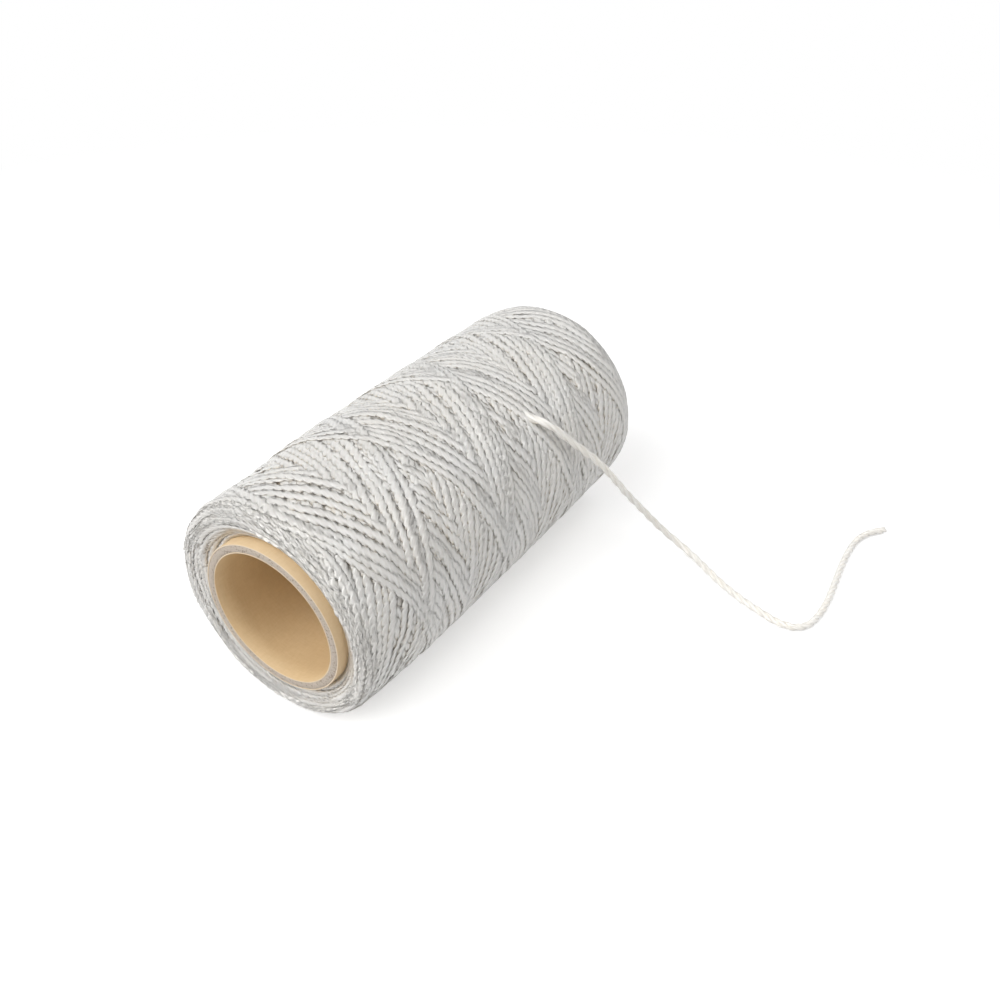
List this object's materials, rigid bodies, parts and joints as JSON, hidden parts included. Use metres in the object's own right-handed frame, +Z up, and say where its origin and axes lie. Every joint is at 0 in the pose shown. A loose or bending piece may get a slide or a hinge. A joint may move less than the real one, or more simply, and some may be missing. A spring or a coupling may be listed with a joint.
{
  "type": "waxed thread spool",
  "caption": "Paper tube wound with waxed sewing thread, lying on its side with a loose tail of thread.",
  "frame": {"origin": "on the surface that the spool lies on, below the middle of the tube", "axes": "+X along the bore, +Z up, -Y towards the side where the loose tail comes off"},
  "size_m": [0.0752, 0.0655, 0.0304],
  "materials": {
    "kraft_paper": "matte",
    "grey_board": "matte",
    "waxed_thread": "satin"
  },
  "bodies": {
    "root": {"core_liner_ply": "kraft_paper", "core_board_ply": "grey_board", "core_wrap_ply": "kraft_paper", "thread_inner_layers": "waxed_thread", "thread_last_pass": "waxed_thread", "thread_pass_beneath": "waxed_thread", "thread_tail": "waxed_thread"}
  },
  "joints": []
}
